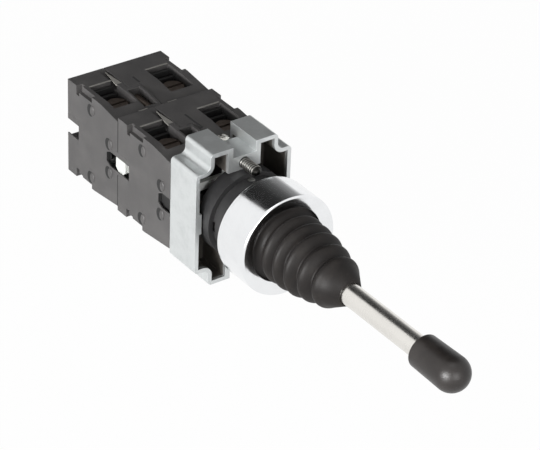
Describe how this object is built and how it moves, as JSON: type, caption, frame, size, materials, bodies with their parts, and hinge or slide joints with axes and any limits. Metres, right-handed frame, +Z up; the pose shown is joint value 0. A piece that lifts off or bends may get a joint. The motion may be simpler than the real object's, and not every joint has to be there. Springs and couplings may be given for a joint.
{
  "type": "panel joystick switch",
  "caption": "Panel-mount joystick switch: spring-return steel lever in a rubber bellows and chromed bezel, die-cast clamp collar and stacked screw-terminal contact blocks.",
  "frame": {"origin": "centre of the panel hole, on the panel's front face, where the gasket's rear face lies", "axes": "+Y from the lever to the contact blocks along the panel hole's axis, +Z up, +X to the right seen from the lever's side; the lever points to -Y"},
  "size_m": [0.0302, 0.1544, 0.04],
  "materials": {
    "black_plastic": "black moulded polyamide, fine matt grain",
    "rubber_black": "black nitrile rubber, soft sheen",
    "chrome_bezel": "bright chromed ring, polished",
    "steel_rod": "ground and polished steel rod",
    "zinc_collar": "satin zinc-alloy die casting",
    "plated_screw": "zinc-plated steel screws",
    "green_plastic": "dark green plunger",
    "white_plastic": "white sliders and push rods",
    "contact_metal": "copper-alloy contacts",
    "spring_steel": "spring wire"
  },
  "bodies": {
    "root": {"bezel": "chrome_bezel", "gasket": "rubber_black", "head_body": "black_plastic", "gimbal_pins": "plated_screw", "gate_plate": "plated_screw", "centring_spring": "spring_steel", "bellows": "rubber_black", "collar": "zinc_collar", "lock_ring": "black_plastic", "clamp_screw_top": "plated_screw", "clamp_screw_bottom": "plated_screw", "front_right_housing": "black_plastic", "front_right_cover": "black_plastic", "front_right_contact_strips": "contact_metal", "front_right_terminal_screws": "plated_screw", "front_right_wire_clamps": "plated_screw", "front_right_fixing_screw": "plated_screw", "front_right_return_spring": "spring_steel", "front_left_housing": "black_plastic", "front_left_cover": "black_plastic", "front_left_contact_strips": "contact_metal", "front_left_terminal_screws": "plated_screw", "front_left_wire_clamps": "plated_screw", "front_left_fixing_screw": "plated_screw", "front_left_return_spring": "spring_steel", "rear_right_housing": "black_plastic", "rear_right_cover": "black_plastic", "rear_right_contact_strips": "contact_metal", "rear_right_terminal_screws": "plated_screw", "rear_right_wire_clamps": "plated_screw", "rear_right_fixing_screw": "plated_screw", "rear_right_return_spring": "spring_steel", "rear_left_housing": "black_plastic", "rear_left_cover": "black_plastic", "rear_left_contact_strips": "contact_metal", "rear_left_terminal_screws": "plated_screw", "rear_left_wire_clamps": "plated_screw", "rear_left_fixing_screw": "plated_screw", "rear_left_return_spring": "spring_steel"},
    "gimbal": {"gimbal_ring": "plated_screw"},
    "lever": {"lever_rod": "steel_rod", "tip_cap": "rubber_black", "rocker": "black_plastic", "rocker_pins": "steel_rod", "lever_pin": "plated_screw", "spring_washer": "plated_screw"},
    "right_slider": {"pusher_right": "white_plastic", "front_right_plunger": "green_plastic", "front_right_contact_bridge": "contact_metal"},
    "left_slider": {"pusher_left": "white_plastic", "front_left_plunger": "green_plastic", "front_left_contact_bridge": "contact_metal"},
    "down_slider": {"push_rod_down": "white_plastic", "rear_right_plunger": "green_plastic", "rear_right_contact_bridge": "contact_metal"},
    "up_slider": {"push_rod_up": "white_plastic", "rear_left_plunger": "green_plastic", "rear_left_contact_bridge": "contact_metal"}
  },
  "joints": [
    {"name": "lever_left_right", "type": "hinge", "parent": "root", "child": "gimbal", "pos_m": [0, 0.004, 0], "axis": [0, 0, 1], "range_deg": [-15, 15], "stiffness_Nm_per_rad": 0.9, "deforming": ["bellows", "centring_spring"]},
    {"name": "lever_up_down", "type": "hinge", "parent": "gimbal", "child": "lever", "pos_m": [0, 0.004, 0], "axis": [1, 0, 0], "range_deg": [-15, 15], "stiffness_Nm_per_rad": 0.9, "deforming": ["bellows", "centring_spring"]},
    {"name": "right_contact_travel", "type": "slide", "parent": "root", "child": "right_slider", "axis": [0, 1, 0], "range_m": [-0.00206, 0.00206], "deforming": ["front_right_return_spring"]},
    {"name": "left_contact_travel", "type": "slide", "parent": "root", "child": "left_slider", "axis": [0, 1, 0], "range_m": [-0.00206, 0.00206], "deforming": ["front_left_return_spring"]},
    {"name": "down_contact_travel", "type": "slide", "parent": "root", "child": "down_slider", "axis": [0, 1, 0], "range_m": [-0.00206, 0.00206], "deforming": ["rear_right_return_spring"]},
    {"name": "up_contact_travel", "type": "slide", "parent": "root", "child": "up_slider", "axis": [0, 1, 0], "range_m": [-0.00206, 0.00206], "deforming": ["rear_left_return_spring"]}
  ],
  "couplings": [
    {"joint": "right_contact_travel", "follows": "lever_left_right", "m_per_rad": 0.0078},
    {"joint": "left_contact_travel", "follows": "lever_left_right", "m_per_rad": -0.0078},
    {"joint": "down_contact_travel", "follows": "lever_up_down", "m_per_rad": 0.0078},
    {"joint": "up_contact_travel", "follows": "lever_up_down", "m_per_rad": -0.0078}
  ]
}
